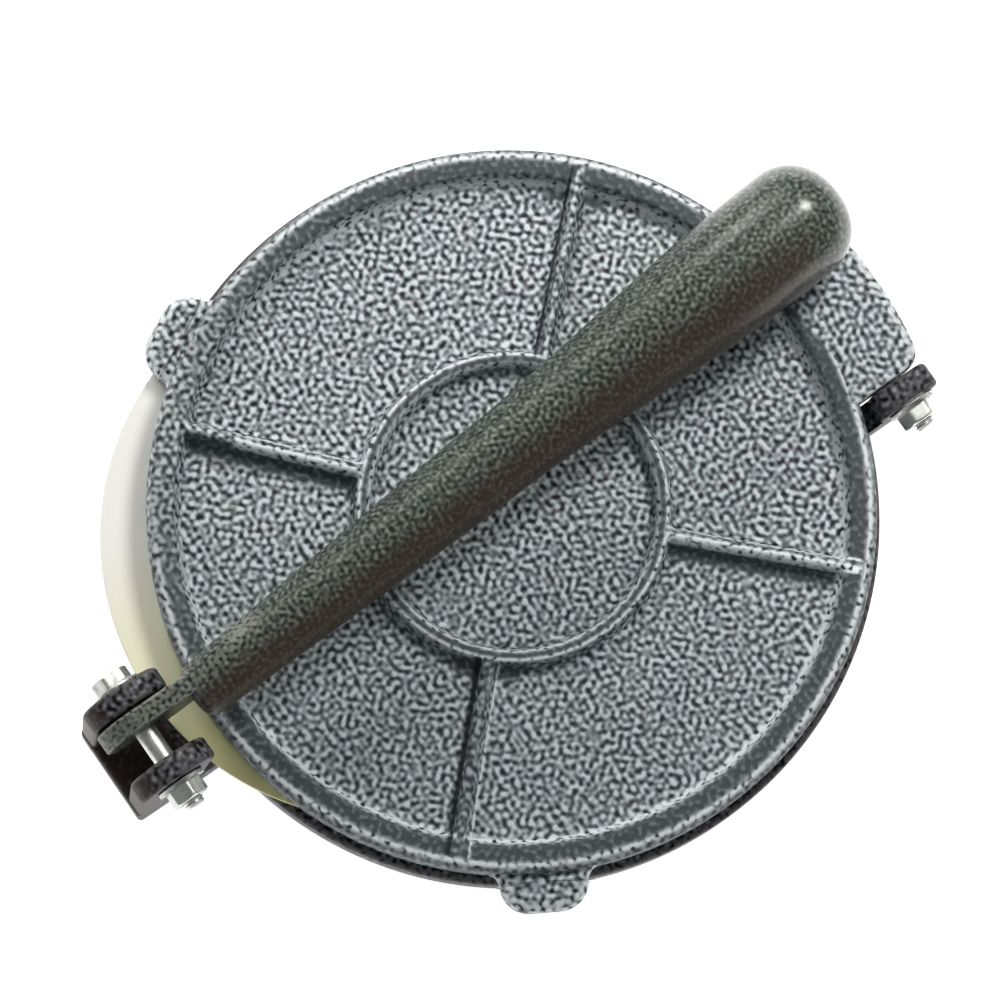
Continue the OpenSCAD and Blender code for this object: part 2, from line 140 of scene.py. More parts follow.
def shell(grid, first=None, last=None, closed=False, edge=None, calm_and_shade=None):
    """A closed surface from a grid of points: each four neighbours are a face, and the last column joins
    the first. closed joins the last row to the first, and first and last are the tips that close the end
    rows. A surface whose volume comes out negative is turned inside out. edge and calm-and-shade are a
    number at each point, for its finish; on some pieces they also carry painted highlight and painted shade."""
    rows, cols = grid.shape[:2]
    points = grid.reshape(-1, 3)
    number = np.arange(rows * cols).reshape(rows, cols)
    number = np.concatenate([number, number[:, :1]], axis=1)
    if closed:
        number = np.concatenate([number, number[:1]], axis=0)
    quads = np.stack([number[:-1, :-1], number[:-1, 1:], number[1:, 1:], number[1:, :-1]], axis=-1)
    quads = quads.reshape(-1, 4)
    tris = np.zeros((0, 3), int)
    marks = [np.zeros(rows * cols) if m is None else np.broadcast_to(m, (rows, cols)).reshape(-1)
             for m in (edge, calm_and_shade)]
    for tip, line in ((first, number[0][::-1]), (last, number[-1])):
        if tip is not None:
            at = len(points)
            points = np.concatenate([points, np.array(tip, float)[None, :]])
            marks = [np.append(m, m[line[0]]) for m in marks]
            fan = np.stack([line[:-1], line[1:], np.full(len(line) - 1, at)], axis=-1)
            tris = np.concatenate([tris, fan])
    a, b, c, d = (points[quads[:, i]] for i in range(4))
    volume = np.sum(np.cross(b - a, c - a) * a) + np.sum(np.cross(c - a, d - a) * a)
    a, b, c = (points[tris[:, i]] for i in range(3))
    volume += np.sum(np.cross(b - a, c - a) * a)
    if volume < 0:
        quads, tris = quads[:, ::-1], tris[:, ::-1]
    return points, quads, tris, marks[0], marks[1]


def piece(name, shells, body, nodes, material):
    """Puts surfaces, in mm, into one mesh in metres, and makes it a piece that rides on a body for CAD
    nodes."""
    start, points, faces, edge, calm_and_shade = 0, [], [], [], []
    for p, quads, tris, e, c in shells:
        points.append(p)
        faces += (quads + start).tolist() + (tris + start).tolist()
        edge.append(e)
        calm_and_shade.append(c)
        start += len(p)
    mesh = bpy.data.meshes.new(name)
    mesh.from_pydata((np.concatenate(points) * MM).tolist(), [], faces)
    for title, values in (("edge", edge), ("calm_and_shade", calm_and_shade)):
        mesh.attributes.new(title, "FLOAT", "POINT").data.foreach_set(
            "value", np.concatenate(values).astype(np.float32))
    mesh.shade_smooth()
    mesh.materials.append(material)
    mesh.update()
    made = bpy.data.objects.new(name, mesh)
    bpy.context.scene.collection.objects.link(made)
    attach(made, body)
    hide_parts(*nodes)


def rounded_outline(corners, radii, step):
    """A closed line through the corners of a polygon, each rounded to its radius, with a point about
    every step mm. It runs the way the corners do."""
    corners = np.array(corners, float)
    line = []
    for i, (at, radius) in enumerate(zip(corners, radii)):
        to_last = corners[i - 1] - at
        to_next = corners[(i + 1) % len(corners)] - at
        to_last, to_next = to_last / np.linalg.norm(to_last), to_next / np.linalg.norm(to_next)
        half = np.arccos(np.clip(to_last @ to_next, -1, 1)) / 2
        middle = (to_last + to_next) / np.linalg.norm(to_last + to_next)
        centre = at + middle * radius / np.sin(half)
        start = at + to_last * radius / np.tan(half) - centre
        end = at + to_next * radius / np.tan(half) - centre
        turn = np.arctan2(start[0] * end[1] - start[1] * end[0], start @ end)
        n = max(5, int(abs(turn) * radius / step))
        a = np.linspace(0, turn, n)[:, None]
        line.append(centre + start * np.cos(a) + np.stack([-start[1], start[0]]) * np.sin(a))
    full = []
    for i, arc in enumerate(line):
        following = line[(i + 1) % len(line)][0]
        n = max(2, int(np.linalg.norm(following - arc[-1]) / step))
        full.append(arc)
        full.append(arc[-1] + (following - arc[-1]) * (np.arange(1, n) / n)[:, None])
    return np.concatenate(full)


def inward(outline):
    """The direction into the outline at each of its points, of length one."""
    along = np.roll(outline, -1, axis=0) - np.roll(outline, 1, axis=0)
    normal = np.stack([-along[:, 1], along[:, 0]], axis=-1)
    normal /= np.linalg.norm(normal, axis=1, keepdims=True)
    area = np.sum(outline[:, 0] * np.roll(outline[:, 1], -1) - outline[:, 1] * np.roll(outline[:, 0], -1))
    return normal * np.sign(area)


def plate(outline, low, high, edge_r, centre, hole=0.0, edge_low=None):
    """A flat plate whose outline is drawn in its own plane, from low to high across it. Its rows go from
    the middle over the upper face, round its upper edge, down its side, round its lower edge and back.
    With a hole the rows start and end on the wall of the hole instead of at a tip. Gives the grid in
    plane, plane, height."""
    edge_low = edge_r if edge_low is None else edge_low
    into = inward(outline)
    centre = np.array(centre, float)
    away = outline - centre
    start = centre + away / np.linalg.norm(away, axis=1, keepdims=True) * hole if hole else None
    quarter = np.linspace(0, np.pi / 2, 6)
    rows, heights, marks = [], [], []

    def face(height, radius, shares):
        rim = outline + into * radius
        inner = start if hole else np.broadcast_to(centre, rim.shape)
        for share in shares:
            rows.append(inner + (rim - inner) * share)
            heights.append(height)
            marks.append(0.0)

    shares = np.array([0.0, 0.06, 0.2, 0.45, 0.7, 0.88]) if hole else np.array([0.06, 0.25, 0.5, 0.75, 0.9])
    face(high, edge_r, shares)
    for height, way, radius, turns in ((high, -1, edge_r, quarter), (low, 1, edge_low, quarter[::-1])):
        for a in turns:
            rows.append(outline + into * radius * (1 - np.sin(a)))
            heights.append(height + way * radius * (1 - np.cos(a)))
            marks.append(1.0 if 0.2 < a < 1.37 else 0.35)
    face(low, edge_low, shares[::-1])
    rows = np.array(rows)
    levels = np.broadcast_to(np.array(heights)[:, None, None], rows.shape[:2] + (1,))
    grid = np.concatenate([rows, levels], axis=2)
    tips = (None, None) if hole else ((*centre, high), (*centre, low))
    return grid, np.array(marks)[:, None], tips


def plate_across(outline, x0, x1, edge_r, centre, hole=0.0, shaded_front_y=-200.0):
    """A plate that stands across X: its outline is in Y and Z. In front of the given y it is painted plain
    dark, as shade on the faces turned from the lamps.
    """
    grid, marks, tips = plate(outline, x0, x1, edge_r, centre, hole)
    turned = grid[..., [2, 0, 1]]
    tips = [None if t is None else (t[2], t[0], t[1]) for t in tips]
    turned = turned + swell(turned, 22.0, 0.10)[..., None] * np.array([0.4, 0.6, 0.6])
    calm_and_shade = smooth_step((shaded_front_y - turned[..., 1]) / 6.0 + 0.5)
    return shell(turned, tips[0], tips[1], closed=bool(hole), edge=marks * (1 - 0.8 * calm_and_shade), calm_and_shade=calm_and_shade)


def base_disc():
    """The round floor with its skirt. The outline is a circle, cut straight at the back. The rows run
    from the middle over the floor, round the edge, down the skirt, and back over the underside, whose
    ribs, ring and screw bosses hang down by their share of the depth."""
    quarter = np.linspace(0, np.pi / 2, 6)
    top = np.concatenate([np.linspace(0.04, 0.4, 6), np.linspace(0.48, 1.0, 12)])
    under = np.concatenate([np.linspace(0.985, 0.46, 40), np.linspace(0.45, 0.38, 12),
                            np.linspace(0.34, 0.04, 6)])
    # each row is a share of the outline's radius, a distance in from it, and a height
    rows = [(s, base_round, base_top) for s in top]
    rows += [(1, aside, base_top - down) for aside, down in rounding(base_round, quarter[1:])]
    rows += [(1, 0, z) for z in np.linspace(base_top - 4.5, base_low + 4.5, 3)]
    rows += [(1, aside, base_low + up) for aside, up in rounding(base_round, quarter[::-1])]
    rows += [(1, base_skirt * 0.75, base_low), (1, base_skirt * 0.97, base_low + 0.4),
             (1, base_skirt, base_low + 1.2)]
    rows += [(1, base_skirt, base_under - 2.0), (1, base_skirt + 0.5, base_under - 0.6)]
    rows += [(s, base_skirt + 1.4, base_under) for s in under]
    share, inset, height = (np.array(v, float)[:, None] for v in zip(*rows))
    angle = rib_columns((share * base_r)[:, 0], rib_angles, half=6.0, between=62)
    straight = (np.abs(notch_y / np.tan(angle) - hinge_x) < notch_half) & (np.sin(angle) > 0)
    outline = np.where(straight, np.minimum(notch_y / np.maximum(np.sin(angle), 0.1), base_r), base_r)
    r = share * (outline - inset)
    x, y = r * np.cos(angle), r * np.sin(angle)
    hang = rib_share(x, y, rib_angles, ring_half=2.0, rib_half=2.0, slope=0.5)
    hang = hang * (base_under - base_low - base_round)
    for a in rib_angles:
        from_foot = np.hypot(x - foot_at * np.cos(a), y - foot_at * np.sin(a))
        boss = wall(from_foot, boss_r - 0.4, boss_r + 0.4)
        hang = np.maximum(hang, boss * (base_under - base_low))
    below = np.zeros_like(height)
    below[-len(under):] = 1.0
    grid = np.stack([x, y + mid_y, height - hang * below], axis=-1)
    grid[..., 2] += swell(grid, 40.0, 0.10) * (height > base_top - 0.1)
    edge = np.where((inset > 0.05) & (inset < base_round * 0.95), 1.0, 0.0) * (share == 1)
    return shell(grid, (0, mid_y, base_top), (0, mid_y, base_under), edge=edge)


fork_in, fork_out, fork_r = 8.2, 14.8, 12.0
ear_hole = 3.2
fork_front, fork_back, lug_back = base_box[0][1], fork_y + 7.0, mid_y - 92.0
ear_line = rounded_outline(
    [(fork_y - 11.5, fork_z + fork_r), (fork_front, base_low), (fork_back, base_low), (fork_back, base_top),
     (fork_y + 14.4, fork_z + fork_r)], [11.8, 1.5, 1.5, 3.0, 11.8], step=1.0)
# Painted shade: the ears' front ends, and the lug in front of the ears' back, take the plain dark colour.
fork_parts = [plate_across(ear_line, fork_x + a, fork_x + b, edge_r=1.3, centre=(fork_y, fork_z),
                           hole=ear_hole, shaded_front_y=fork_y - 7.0)
              for a, b in ((-fork_out, -fork_in), (fork_in, fork_out))]
lug_line = rounded_outline(
    [(fork_front + 0.1, base_top - 0.2), (fork_front + 0.1, base_low + 0.1), (lug_back, base_low + 0.1),
     (lug_back, base_top - 0.2)], [2.0, 2.0, 1.0, 1.0], step=1.5)
fork_parts.append(plate_across(lug_line, fork_x - fork_out + 0.1, fork_x + fork_out - 0.1, edge_r=1.5,
                               centre=(fork_y + 10.0, (base_low + base_top) / 2), shaded_front_y=fork_back))

hinge_r, hinge_top = 9.5, lid_box[1][2] + 0.5
hinge_in, hinge_out = 27.5, 35.0
hinge_wall = notch_y + mid_y - 6.0
hinge_line = rounded_outline(
    [(hinge_y + hinge_r, hinge_top), (hinge_y - hinge_r, hinge_top), (hinge_y - hinge_r, base_top),
     (hinge_wall, base_top - 0.3), (hinge_wall, base_low + 0.1), (hinge_y, base_low + 0.1),
     (hinge_y + hinge_r, base_low + 7.0)],
    [5.5, 5.5, 2.0, 1.0, 1.0, 3.0, 4.0], step=1.0)
hinge_parts = [plate_across(hinge_line, hinge_x + a, hinge_x + b, edge_r=1.2, centre=(hinge_y, hinge_z),
                            hole=ear_hole)
               for a, b in ((-hinge_out, -hinge_in), (hinge_in, hinge_out))]


def feed(tree, node, inputs):
    """Sets a shader node's inputs, by name or number, each to a value or to another node's output."""
    for title, value in inputs.items():
        if isinstance(value, bpy.types.NodeSocket):
            tree.links.new(value, node.inputs[title])
        else:
            node.inputs[title].default_value = value


def add(tree, kind, inputs, output=0, **settings):
    """Adds a shader node with its settings and inputs, and gives one of its outputs, by name or number."""
    node = tree.nodes.new("ShaderNode" + kind)
    for title, value in settings.items():
        setattr(node, title, value)
    feed(tree, node, inputs)
    return node.outputs[output]


def ramp(tree, value, stops):
    """A colour that runs through the stops, each a level and its colour, as the value rises."""
    colour = add(tree, "ValToRGB", {"Fac": value})
    elements = colour.node.color_ramp.elements
    for i, (level, tint) in enumerate(stops):
        stop = elements[i] if i < 2 else elements.new(level)
        stop.position = level
        stop.color = (*tint, 1.0)
    return colour


def new_surface(name):
    """A new material, its node tree, its shader, and the object's own coordinates."""
    material = bpy.data.materials.new(name)
    material.use_nodes = True
    tree = material.node_tree
    return material, tree, tree.nodes["Principled BSDF"], add(tree, "TexCoord", {}, "Object")


def enamel(name, pit, vein, band, bare, grain, low, high, rough, shine, gloss, coat):
    """Hammered enamel. A noise, less its mean over three points round it nine tenths of a cell away,
    gives even worms and pits without clouds. Its tone, raised to a power as the eye reads it, runs from
    the pit's colour at the level low to the vein's at the level high. The mesh's calm-and-shade number
    covers the pattern with the plain colour band, as smooth dark crests and as painted shade. Its edge number
    rubs the enamel through to the colour bare where it is above 0, which on the lid also stands for painted
    highlights, and leaves it as dark as a pit below, which is painted shadow."""
    material, tree, surface, where = new_surface(name)
    pit, vein, band, bare = ((*colour, 1.0) for colour in (pit, vein, band, bare))

    def noise(scale, detail=0.0, aside=(0, 0, 0)):
        moved = add(tree, "VectorMath", {0: where, 1: [0.9 / grain * v for v in aside]})
        return add(tree, "TexNoise", {"Vector": moved, "Scale": scale, "Detail": detail})

    def spread(value, low, high, to_low=0.0, to_high=1.0):
        return add(tree, "MapRange", {"Value": value, "From Min": low, "From Max": high,
                                      "To Min": to_low, "To Max": to_high})

    def sums(kind, a, b):
        return add(tree, "Math", {0: a, 1: b}, operation=kind)

    def mix(share, a, b):
        return add(tree, "Mix", {"Factor": share, "A": a, "B": b}, "Result", data_type="RGBA")

    def mark(title):
        return add(tree, "Attribute", {}, "Fac", attribute_name=title)

    level = noise(grain)
    for aside in ((0.0, 1.0, 0.0), (0.866, -0.5, 0.0), (-0.866, -0.5, 0.0)):
        level = sums("SUBTRACT", level, sums("MULTIPLY", noise(grain, aside=aside), 1 / 3))
    for scale, detail, share in ((grain * 2.4, 1.0, 0.14), (grain * 0.06, 3.0, 0.10)):
        level = sums("ADD", level, sums("MULTIPLY", sums("SUBTRACT", noise(scale, detail), 0.5), share))
    tone = sums("POWER", spread(level, low - 0.5, high - 0.5), 1.8)
    calm_and_shade = sums("MULTIPLY", mark("calm_and_shade"), spread(level, 0.25, -0.05, 0.85, 1.0))
    straw = tuple(c * tint for c, tint in zip(vein, (1.03, 1.0, 0.95, 1.0)))
    metal = mix(spread(noise(grain * 0.25), 0.30, 0.70), vein, straw)
    pattern = mix(calm_and_shade, mix(tone, pit, metal), band)
    # Edge mark above 0: worn edges, and on the lid painted highlights; below 0: painted shadow, dark as a
    # pit.
    rubbed_and_highlit = sums("MULTIPLY", mark("edge"), spread(level, -0.30, 0.0))
    painted_shadow = spread(mark("edge"), 0.0, -1.0)
    flakes = sums("MULTIPLY", tone, sums("SUBTRACT", 1.0, calm_and_shade))
    feed(tree, surface, {
        "Base Color": mix(painted_shadow, mix(rubbed_and_highlit, pattern, bare), pit),
        "Roughness": spread(tone, 0.0, 1.0, rough * 0.9, rough * 1.15),
        "Metallic": sums("MULTIPLY", flakes, shine),
        "Specular IOR Level": gloss,
        "Coat Weight": coat,
        "Coat Roughness": 0.2,
        "Normal": add(tree, "Bump", {"Strength": 0.55, "Distance": 0.00022, "Height": level})})
    return material


base_finish = enamel("base_enamel_dark", pit=(0.003, 0.003, 0.003), vein=(0.40, 0.44, 0.54),
                     band=(0.040, 0.024, 0.018), bare=(0.10, 0.09, 0.09), grain=640.0, low=0.26, high=1.05,
                     rough=0.45, shine=0.2, gloss=0.12, coat=0.0)
piece("base_casting", [base_disc(), *fork_parts, *hinge_parts], "base", ["base_plate"],
      base_finish)

# ---------------------------------------------------------------------------------------------
# Lid. One piece of cast iron: a round floor inside a rim, with a ring and four ribs that stand as
# high as the rim, two finger tabs in front and a broad tongue behind that turns on the hinge bolt.
# It is sprayed with silver hammered enamel, which lies smooth and dark on the crests.

lid_low, lid_top = lid_box[0][2], lid_box[1][2]
lid_floor_z = lid_low + 6.0
lid_round = 3.0
rim_in = 94.0
lid_slope = 1.5
lid_ribs = np.radians([45.5, 134.0, 222.0, 316.0])
rib_half, ring_half = 1.2, 1.5
tab_angles, tab_w, tab_reach = np.radians([-152.0, -30.0]), 24.5, 112.5
tongue_half, tongue_r = 27.0, lid_box[1][1] - mid_y
lit_from_x, lit_from_y = -0.469, 0.883  # the side the lid is lit from; painted shadow lies behind its walls on the far side


def lid_share(x, y):
    """How far a point of the lid's floor is raised, as a share of the rim's height, by the ring, the ribs
    and the rim's inner wall, joined as one minus the product of what each leaves."""
    beyond = 1 - wall(rim_in + 0.3 - np.hypot(x, y), 0.0, lid_slope)
    return 1 - (1 - rib_share(x, y, lid_ribs, ring_half, rib_half, lid_slope)) * beyond


def beside_rib(x, y, a, near, far):
    """1 where a point lies from near to far mm to the right of the middle of the rib at the angle a, seen
    from the middle of the lid, and 0 elsewhere, with soft ends of half a millimetre."""
    along, across = x * np.cos(a) + y * np.sin(a), x * np.sin(a) - y * np.cos(a)
    inside = smooth_step((along - ring_r) / 2.0) * smooth_step(lid_r - lid_round - along)
    return inside * smooth_step((far - across) / 0.4 + 0.5) * smooth_step((across - near) / 0.4 + 0.5)


def crest_wear_and_painted_light(x, y):
    """The crests' edges, where the enamel is worn through to the metal, and which also stand as painted
    highlights where the walls catch the lamps: both sides of the ring, the top of the rim's inner wall, a
    line on the shoulder of its outer edge, and one or two lines along three of the ribs. Below 0 are painted
    shadows: the dark lines on the left of the back and front ribs."""
    r = np.hypot(x, y)
    ring = soft_line(np.abs(r - ring_r + 0.3) - ring_half + 0.15, 0.55)
    inner = soft_line(r - rim_in + 1.0, 0.8)
    on_rib = sum(beside_rib(x, y, a, -rib_half, rib_half) for a in lid_ribs)
    lines = np.maximum(np.maximum(ring, inner) * (1 - on_rib), soft_line(r - lid_r + 2.1, 0.8))
    right, back, left, front = lid_ribs
    for a, near, far in ((right, -0.2, 1.9), (right, -2.4, -1.7), (left, -1.9, 0.2), (left, 1.7, 2.4),
                         (front, -3.5, -2.8)):
        lines = np.maximum(lines, beside_rib(x, y, a, near, far))
    for a, near, far in ((back, -2.9, -1.9), (front, 2.0, 3.5)):
        lines = lines - 0.9 * beside_rib(x, y, a, near, far)
    return lines


def painted_lee_shadow(x, y):
    """Painted shadow on the lid's floor, cast by its walls from the side the lid is lit from: 1 behind a wall
    that rises by more than the slant, and 0 in the open. It reaches further behind the ribs than elsewhere."""
    here = lid_share(x, y)
    slant = np.zeros_like(x)
    for step in (0.5, 1.0, 1.6, 2.3, 3.1, 4.0, 5.0, 6.2, 7.5):
        there = lid_share(x + lit_from_x * step, y + lit_from_y * step)
        slant = np.maximum(slant, (there - here) * (lid_top - lid_floor_z) / step)
    near_rib = np.maximum.reduce([beside_rib(x, y, a, -9.0, 9.0) for a in lid_ribs])
    return smooth_step((slant - 1.2 + 0.4 * near_rib) / (0.8 - 0.4 * near_rib)) * (0.5 + 0.45 * near_rib)


def lid_disc():
    """The lid's round body. The rows run from the middle over the floor and up the rim, round its edge,
    down the skirt, round the small lower edge and back over the pressing face."""
    quarter = np.linspace(0, np.pi / 2, 9)
    radii = np.concatenate([np.linspace(3, 36, 9), np.linspace(37.2, 47.0, 36), np.linspace(48.2, 89.0, 30),
                            np.linspace(89.6, 95.4, 24), np.linspace(96.2, lid_r - lid_round, 5)])
    rows = [(r, None) for r in radii]
    rows += [(lid_r - aside, lid_top - down) for aside, down in rounding(lid_round, quarter[1:])]
    rows += [(lid_r, lid_low + up) for up in (6.7, 4.7, 2.7, 1.1)]
    rows += [(lid_r - 0.08, lid_low + 0.6), (lid_r - 0.35, lid_low + 0.2), (lid_r - 0.9, lid_low)]
    rows += [(r, lid_low) for r in (98.0, 80.0, 60.0, 40.0, 20.0, 4.0)]
    radius = np.array([r for r, _ in rows], float)
    angle = rib_columns(radius, lid_ribs, half=8.0, between=66)
    r = radius[:, None]
    x, y = r * np.cos(angle), r * np.sin(angle)
    share = lid_share(x, y)
    height = np.array([np.nan if z is None else z for _, z in rows], float)[:, None] * np.ones_like(angle)
    z = np.where(np.isnan(height), lid_floor_z + (lid_top - lid_floor_z) * share, height)
    grid = np.stack([x, y + mid_y, z], axis=-1)
    face = (np.arange(len(rows)) < len(radii))[:, None]
    grid[..., 2] += np.minimum(swell(grid, 30.0, 0.16), 0.0) * face
    crest = np.where(face, smooth_step((share - 0.7) / 0.3), (z > lid_low + 1.7) * 0.7)
    left_edge = soft_line(angle - np.pi * 1.23, 0.46) * (r > 80)
    speckled = sum(beside_rib(x, y, a, -rib_half, rib_half) * s
                   for a, s in zip(lid_ribs, (0.8, 0.9, 0.8, 0.4)))
    # Painted shade: towards its front right, away from the lamps, the lid takes up to 0.22 of the plain dark
    # colour.
    to_right = 0.816 * x - 0.558 * y
    painted_falloff_shade = 0.22 * smooth_step((to_right + 20) / 90) * face
    # Worn crest edges and painted highlights above 0, painted shadow lines below 0.
    lines = crest_wear_and_painted_light(x, y) * (z > lid_floor_z - 1.0) * (1 - left_edge)
    covered = crest * (1 - speckled) * (1 - 0.75 * left_edge)
    # The plain dark cover: smooth dark crests, painted shadow behind the walls, and painted shade towards the
    # front right.
    calm_and_shade = np.maximum.reduce([covered, painted_lee_shadow(x, y) * face, painted_falloff_shade])
    return shell(grid, (0, mid_y, lid_floor_z), (0, mid_y, lid_low), edge=lines, calm_and_shade=calm_and_shade)


def finger_tab(a):
    """A tab at the angle a: half a rounded oblong, 8 mm thick, that flares where it leaves the skirt, and
    whose top falls a little towards its end."""
    reach, half, flare, corner, thick = tab_reach - lid_r, tab_w / 2, 5.5, 8.0, 8.0
    line = rounded_outline(
        [(-6, -half - flare), (-2.4, -half - flare), (0.2, -half), (reach, -half),
         (reach, half), (0.2, half), (-2.4, half + flare), (-6, half + flare)],
        [0.5, 1.0, 4.5, corner, corner, 4.5, 1.0, 0.5], step=0.9)
    grid, marks, tips = plate(line, lid_low, lid_low + thick, edge_r=2.6, centre=(2.0, 0.0), edge_low=1.2)
    grid = np.concatenate([grid, np.broadcast_to(np.array(tips[0]), (1, grid.shape[1], 3)),
                           np.broadcast_to(np.array(tips[1]), (1, grid.shape[1], 3))])
    grid[..., 2] -= np.clip(grid[..., 0] / reach, 0, 1) ** 2 * 0.8 * (grid[..., 2] > lid_low + thick / 2)
    out, along = grid[..., 0] + lid_r, grid[..., 1]
    turned = np.stack([out * np.cos(a) - along * np.sin(a), out * np.sin(a) + along * np.cos(a) + mid_y,
                       grid[..., 2]], axis=-1)
    return shell(turned[:-2], turned[-2, 0], turned[-1, 0], edge=marks * 0.5)


def hinge_tongue():
    """The broad tongue: its columns run across it and its rows run once round its section, from the rim
    over the top, round the heel and back below. Each column is as long as the arc of the tongue's back
    allows, less its corner."""
    low_r, top_r, start = 6.5, 3.0, rim_in + 0.6
    half = tongue_half
    across = half * np.sin(np.linspace(-np.pi / 2, np.pi / 2, 65))
    back = np.sqrt(tongue_r ** 2 - across ** 2)
    corner = 5.0
    over = np.maximum(np.abs(across) - (half - corner), 0.0)
    back = back - (corner - np.sqrt(np.maximum(corner ** 2 - over ** 2, 0.0)))
    a = np.linspace(0, np.pi / 2, 10)
    b = np.linspace(0, np.pi / 2, 14)
    # each row: a distance back from the rim as a share, a distance in from the heel, and a height
    rows = [(s, top_r, lid_top) for s in np.linspace(0, 1, 14)]
    rows += [(1, aside, lid_top - down) for aside, down in rounding(top_r, a[1:])]
    rows += [(1, aside, lid_low + up) for up, aside in rounding(low_r, b)]
    rows += [(s, low_r, lid_low) for s in np.linspace(0.92, 0, 12)]
    share, inset, height = (np.array(v, float)[:, None] for v in zip(*rows))
    depth = start + share * (back[None, :] - inset - start)
    side = np.minimum((half - np.abs(across))[None, :], 1.0)
    fall = 0.9 * (1 - np.sqrt(np.clip(1 - (1 - side) ** 2, 0, 1)))
    middle = (lid_low + lid_top) / 2
    z = height - np.sign(height - middle) * fall
    grid = np.stack([np.broadcast_to(across + hinge_x, depth.shape), depth + mid_y,
                     np.broadcast_to(z, depth.shape)], axis=-1)
    grid[..., 2] += np.minimum(swell(grid, 26.0, 0.14), 0.0) * (height > lid_top - 0.3)
    ends = np.concatenate([grid[:, :1], grid[:, -1:]], axis=1).mean(axis=0)
    edge = np.broadcast_to((inset < top_r * 0.9) & (height > lid_top - 4.0), depth.shape) | (side < 0.9)
    calm_and_shade = smooth_step(lid_r - 3.4 - np.hypot(grid[..., 0], grid[..., 1] - mid_y)) * (height > lid_top - 0.3)
    return shell(grid.transpose(1, 0, 2), ends[0], ends[1], edge=edge.T * 0.5, calm_and_shade=calm_and_shade.T)


lid_finish = enamel("lid_enamel_silver", pit=(0.008, 0.009, 0.011), vein=(0.65, 0.73, 0.775),
                    band=(0.057, 0.068, 0.075), bare=(0.86, 0.91, 0.93), grain=620.0, low=0.13, high=0.75,
                    rough=0.50, shine=0.25, gloss=0.2, coat=0.0)
piece("lid_casting", [lid_disc(), *(finger_tab(a) for a in tab_angles), hinge_tongue()], "lid", ["lid_plate"],
      lid_finish)

# ---------------------------------------------------------------------------------------------
# Lever. One piece of cast iron: a flat eye that turns on the bolt between the fork's ears, a round
# arm that swells to a waist and then to a knob for the palm, and a foot below that bears on the
# lid's ring. It is sprayed with dark hammered enamel, which handling has polished.

arm_x, arm_z = -3.4, 53.8
lean = math.radians(4.0)
eye_x, eye_t, eye_r = -7.6, 5.6, 12.0
shoulder, neck_r, waist_r, waist_at = 15.5, 7.6, 11.3, 113.0
lever_l, knob_r, knob_l, knob_end_r = 242.0, 16.8, 20.0, 14.0


def arm_radius(t):
    """The arm's radius at t mm from the bolt: it grows from the neck to the waist as a power of the
    distance, and from the waist to the knob by a smooth step."""
    rise = np.clip((t - shoulder) / (waist_at - shoulder), 0, 1) ** 0.75
    return neck_r + (waist_r - neck_r) * rise + (knob_r - waist_r) * smooth_step(
        (t - waist_at) / (lever_l - knob_l - waist_at))


def lean_over(t, across, up):
    """Puts points given along, across and above the arm's axis into the frame."""
    return np.stack([arm_x - t * np.sin(lean) + across * np.cos(lean),
                     fork_y + t * np.cos(lean) + across * np.sin(lean), arm_z + up], axis=-1)


def lever_arm():
    """The round arm and knob: a circle carried along the axis, with the radius above, closed by a rounded
    shoulder in front and by the knob's rounded end. Near the neck a flat ridge, as wide as the eye, runs
    on along its top."""
    edge_r, ridge_h, ridge_end = 4.0, 1.4, 46.0
    knob_mid = lever_l - knob_end_r
    a = np.linspace(0, np.pi / 2, 7)
    b = np.linspace(0, np.pi / 2, 18)[1:-1]
    side = np.concatenate([np.linspace(shoulder + edge_r, 40, 22), np.linspace(42, knob_mid, 90)])
    t = np.concatenate([np.full(3, shoulder), shoulder + edge_r * (1 - np.cos(a)), side[1:],
                        knob_mid + knob_end_r * np.sin(b)])
    first = arm_radius(shoulder + edge_r)
    r = np.concatenate([[1.5, 3.5, first - edge_r - 0.4], first - edge_r * (1 - np.sin(a)),
                        arm_radius(side[1:]), arm_radius(knob_mid) - knob_end_r * (1 - np.cos(b))])
    turn = full_turn(96)
    t, r = t[:, None], r[:, None]
    across, up = r * np.cos(turn), r * np.sin(turn)
    ridge_x = eye_x - arm_x
    ridge = wall(np.abs(across - ridge_x + t * np.sin(lean)), eye_t / 2 - 0.5, eye_t / 2 + 0.6) * (up > 0)
    ridge = ridge * smooth_step((ridge_end - t) / 18.0) * smooth_step((r - 4.0) / 2.0)
    up = up + ridge * ridge_h
    grid = lean_over(t * np.ones_like(turn), across, up)
    waves = (swell(grid, 34.0, 0.16) - 0.1) * smooth_step((t - 14) / 20)
    grid = grid + waves[..., None] * np.array([0.5, 0.0, 0.8])
    edge = np.where((t > shoulder + 0.1) & (t < shoulder + edge_r * 0.9), 0.2, 0.0)
    edge = edge + ridge * (1 - ridge) * 3.5
    # Painted shade: the arm's right side, more of it near the root, takes up to 0.85 of the plain brown, not
    # at the knob's end.
    painted_shade_side = np.cos(turn) * 1.6 + 0.1 + 0.3 * smooth_step((60 - t) / 40)
    calm_and_shade = 0.85 * smooth_step(painted_shade_side) * smooth_step((lever_l - 10.0 - t) / 16)
    return shell(grid, lean_over(shoulder, 0, 0), lean_over(lever_l, 0, 0), edge=np.clip(edge, 0, 1),
                 calm_and_shade=calm_and_shade * (1 - ridge))


